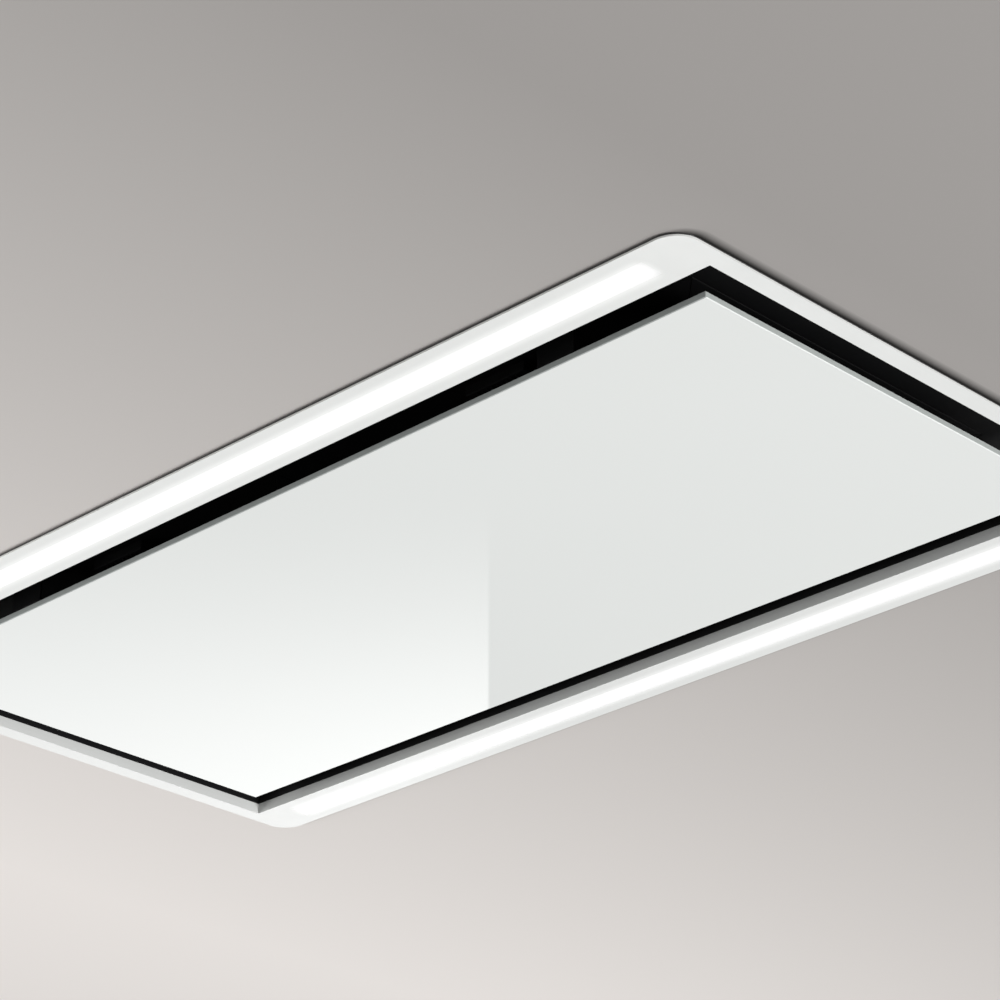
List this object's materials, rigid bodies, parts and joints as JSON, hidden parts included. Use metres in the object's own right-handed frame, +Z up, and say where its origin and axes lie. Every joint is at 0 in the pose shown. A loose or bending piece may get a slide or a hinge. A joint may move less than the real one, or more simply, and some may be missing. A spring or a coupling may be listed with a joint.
{
  "type": "ceiling range hood",
  "caption": "Flush ceiling range hood with suction round a hinged white glass panel, a light strip along each long side, grease filters, fan and flat duct outlet.",
  "frame": {"origin": "middle of the ceiling cut-out, in the plane of the finished ceiling", "axes": "+X along the hood's length, +Y towards the duct outlet, +Z up into the ceiling"},
  "size_m": [1, 0.6158, 0.2441],
  "materials": {
    "white_paint": "satin white powder coat",
    "white_glass": "glossy, back-painted white",
    "opal": "frosted opal diffuser, lit from behind",
    "black_sheet": "matt black powder coat",
    "black_aluminium": "black coated",
    "filter_mesh": "expanded mesh pad",
    "foam": "closed-cell foam",
    "galvanised": "galvanised sheet, faint spangle",
    "aluminium": "mill extrusion",
    "steel": "zinc plated",
    "magnet": "dull dark grey",
    "black_plastic": "fine moulded grain",
    "grey_plastic": "fine moulded grain",
    "white_board": "smooth",
    "circuit": "solder mask",
    "rubber": "matt"
  },
  "bodies": {
    "casing": {"frame": "white_paint", "frame_gasket": "foam", "light_channel_near": "aluminium", "light_board_near": "white_board", "light_diffuser_near": "opal", "light_channel_far": "aluminium", "light_board_far": "white_board", "light_diffuser_far": "opal", "hinge_bracket_left": "black_sheet", "hinge_pin_left": "steel", "hinge_bracket_right": "black_sheet", "hinge_pin_right": "steel", "catch_post_left": "black_sheet", "catch_magnet_left": "magnet", "catch_post_right": "black_sheet", "catch_magnet_right": "magnet", "deck": "black_sheet", "filter_frame_left": "black_aluminium", "filter_mesh_left": "filter_mesh", "filter_frame_right": "black_aluminium", "filter_mesh_right": "filter_mesh", "casing_walls": "galvanised", "casing_top": "galvanised", "suspension_bracket_near_left": "galvanised", "suspension_bracket_far_left": "galvanised", "suspension_bracket_near_right": "galvanised", "suspension_bracket_far_right": "galvanised", "volute_lower": "black_plastic", "volute_upper": "black_plastic", "inlet_ring": "grey_plastic", "stator": "magnet", "bearing_lower": "steel", "bearing_upper": "steel", "motor_plate": "galvanised", "rubber_hanger_1": "rubber", "rubber_hanger_2": "rubber", "rubber_hanger_3": "rubber", "rubber_hanger_4": "rubber", "outlet_duct": "black_plastic", "outlet_spigot": "black_plastic", "flap_pin": "steel", "control_box": "grey_plastic", "control_box_lid": "grey_plastic", "control_board": "circuit", "terminal_block": "white_board", "cable_gland": "black_plastic", "light_supply": "white_board"},
    "panel": {"panel_glass": "white_glass", "panel_tray": "black_sheet", "hinge_arm_left": "steel", "hinge_arm_right": "steel", "catch_keeper_left": "steel", "catch_keeper_right": "steel"},
    "fan_wheel": {"impeller": "grey_plastic", "rotor_cup": "steel", "motor_shaft": "steel"},
    "flap": {"outlet_flap": "grey_plastic"},
    "latch_left": {"filter_latch_left": "black_plastic"},
    "latch_right": {"filter_latch_right": "black_plastic"}
  },
  "joints": [
    {"name": "panel_hinge", "type": "hinge", "parent": "casing", "child": "panel", "pos_m": [0, 0.194, 0.0218], "axis": [1, 0, 0], "range_deg": [0, 90]},
    {"name": "fan_spin", "type": "hinge", "parent": "casing", "child": "fan_wheel", "pos_m": [-0.12582, -0.04, 0.13], "axis": [0, 0, 1], "continuous": true},
    {"name": "flap_swing", "type": "hinge", "parent": "casing", "child": "flap", "pos_m": [0, 0.2395, 0.1675], "axis": [1, 0, 0], "range_deg": [0, 80]},
    {"name": "latch_slide_left", "type": "slide", "parent": "casing", "child": "latch_left", "axis": [0, 1, 0], "range_m": [0, 0.0065], "stiffness_N_per_m": 500},
    {"name": "latch_slide_right", "type": "slide", "parent": "casing", "child": "latch_right", "axis": [0, 1, 0], "range_m": [0, 0.0065], "stiffness_N_per_m": 500}
  ]
}
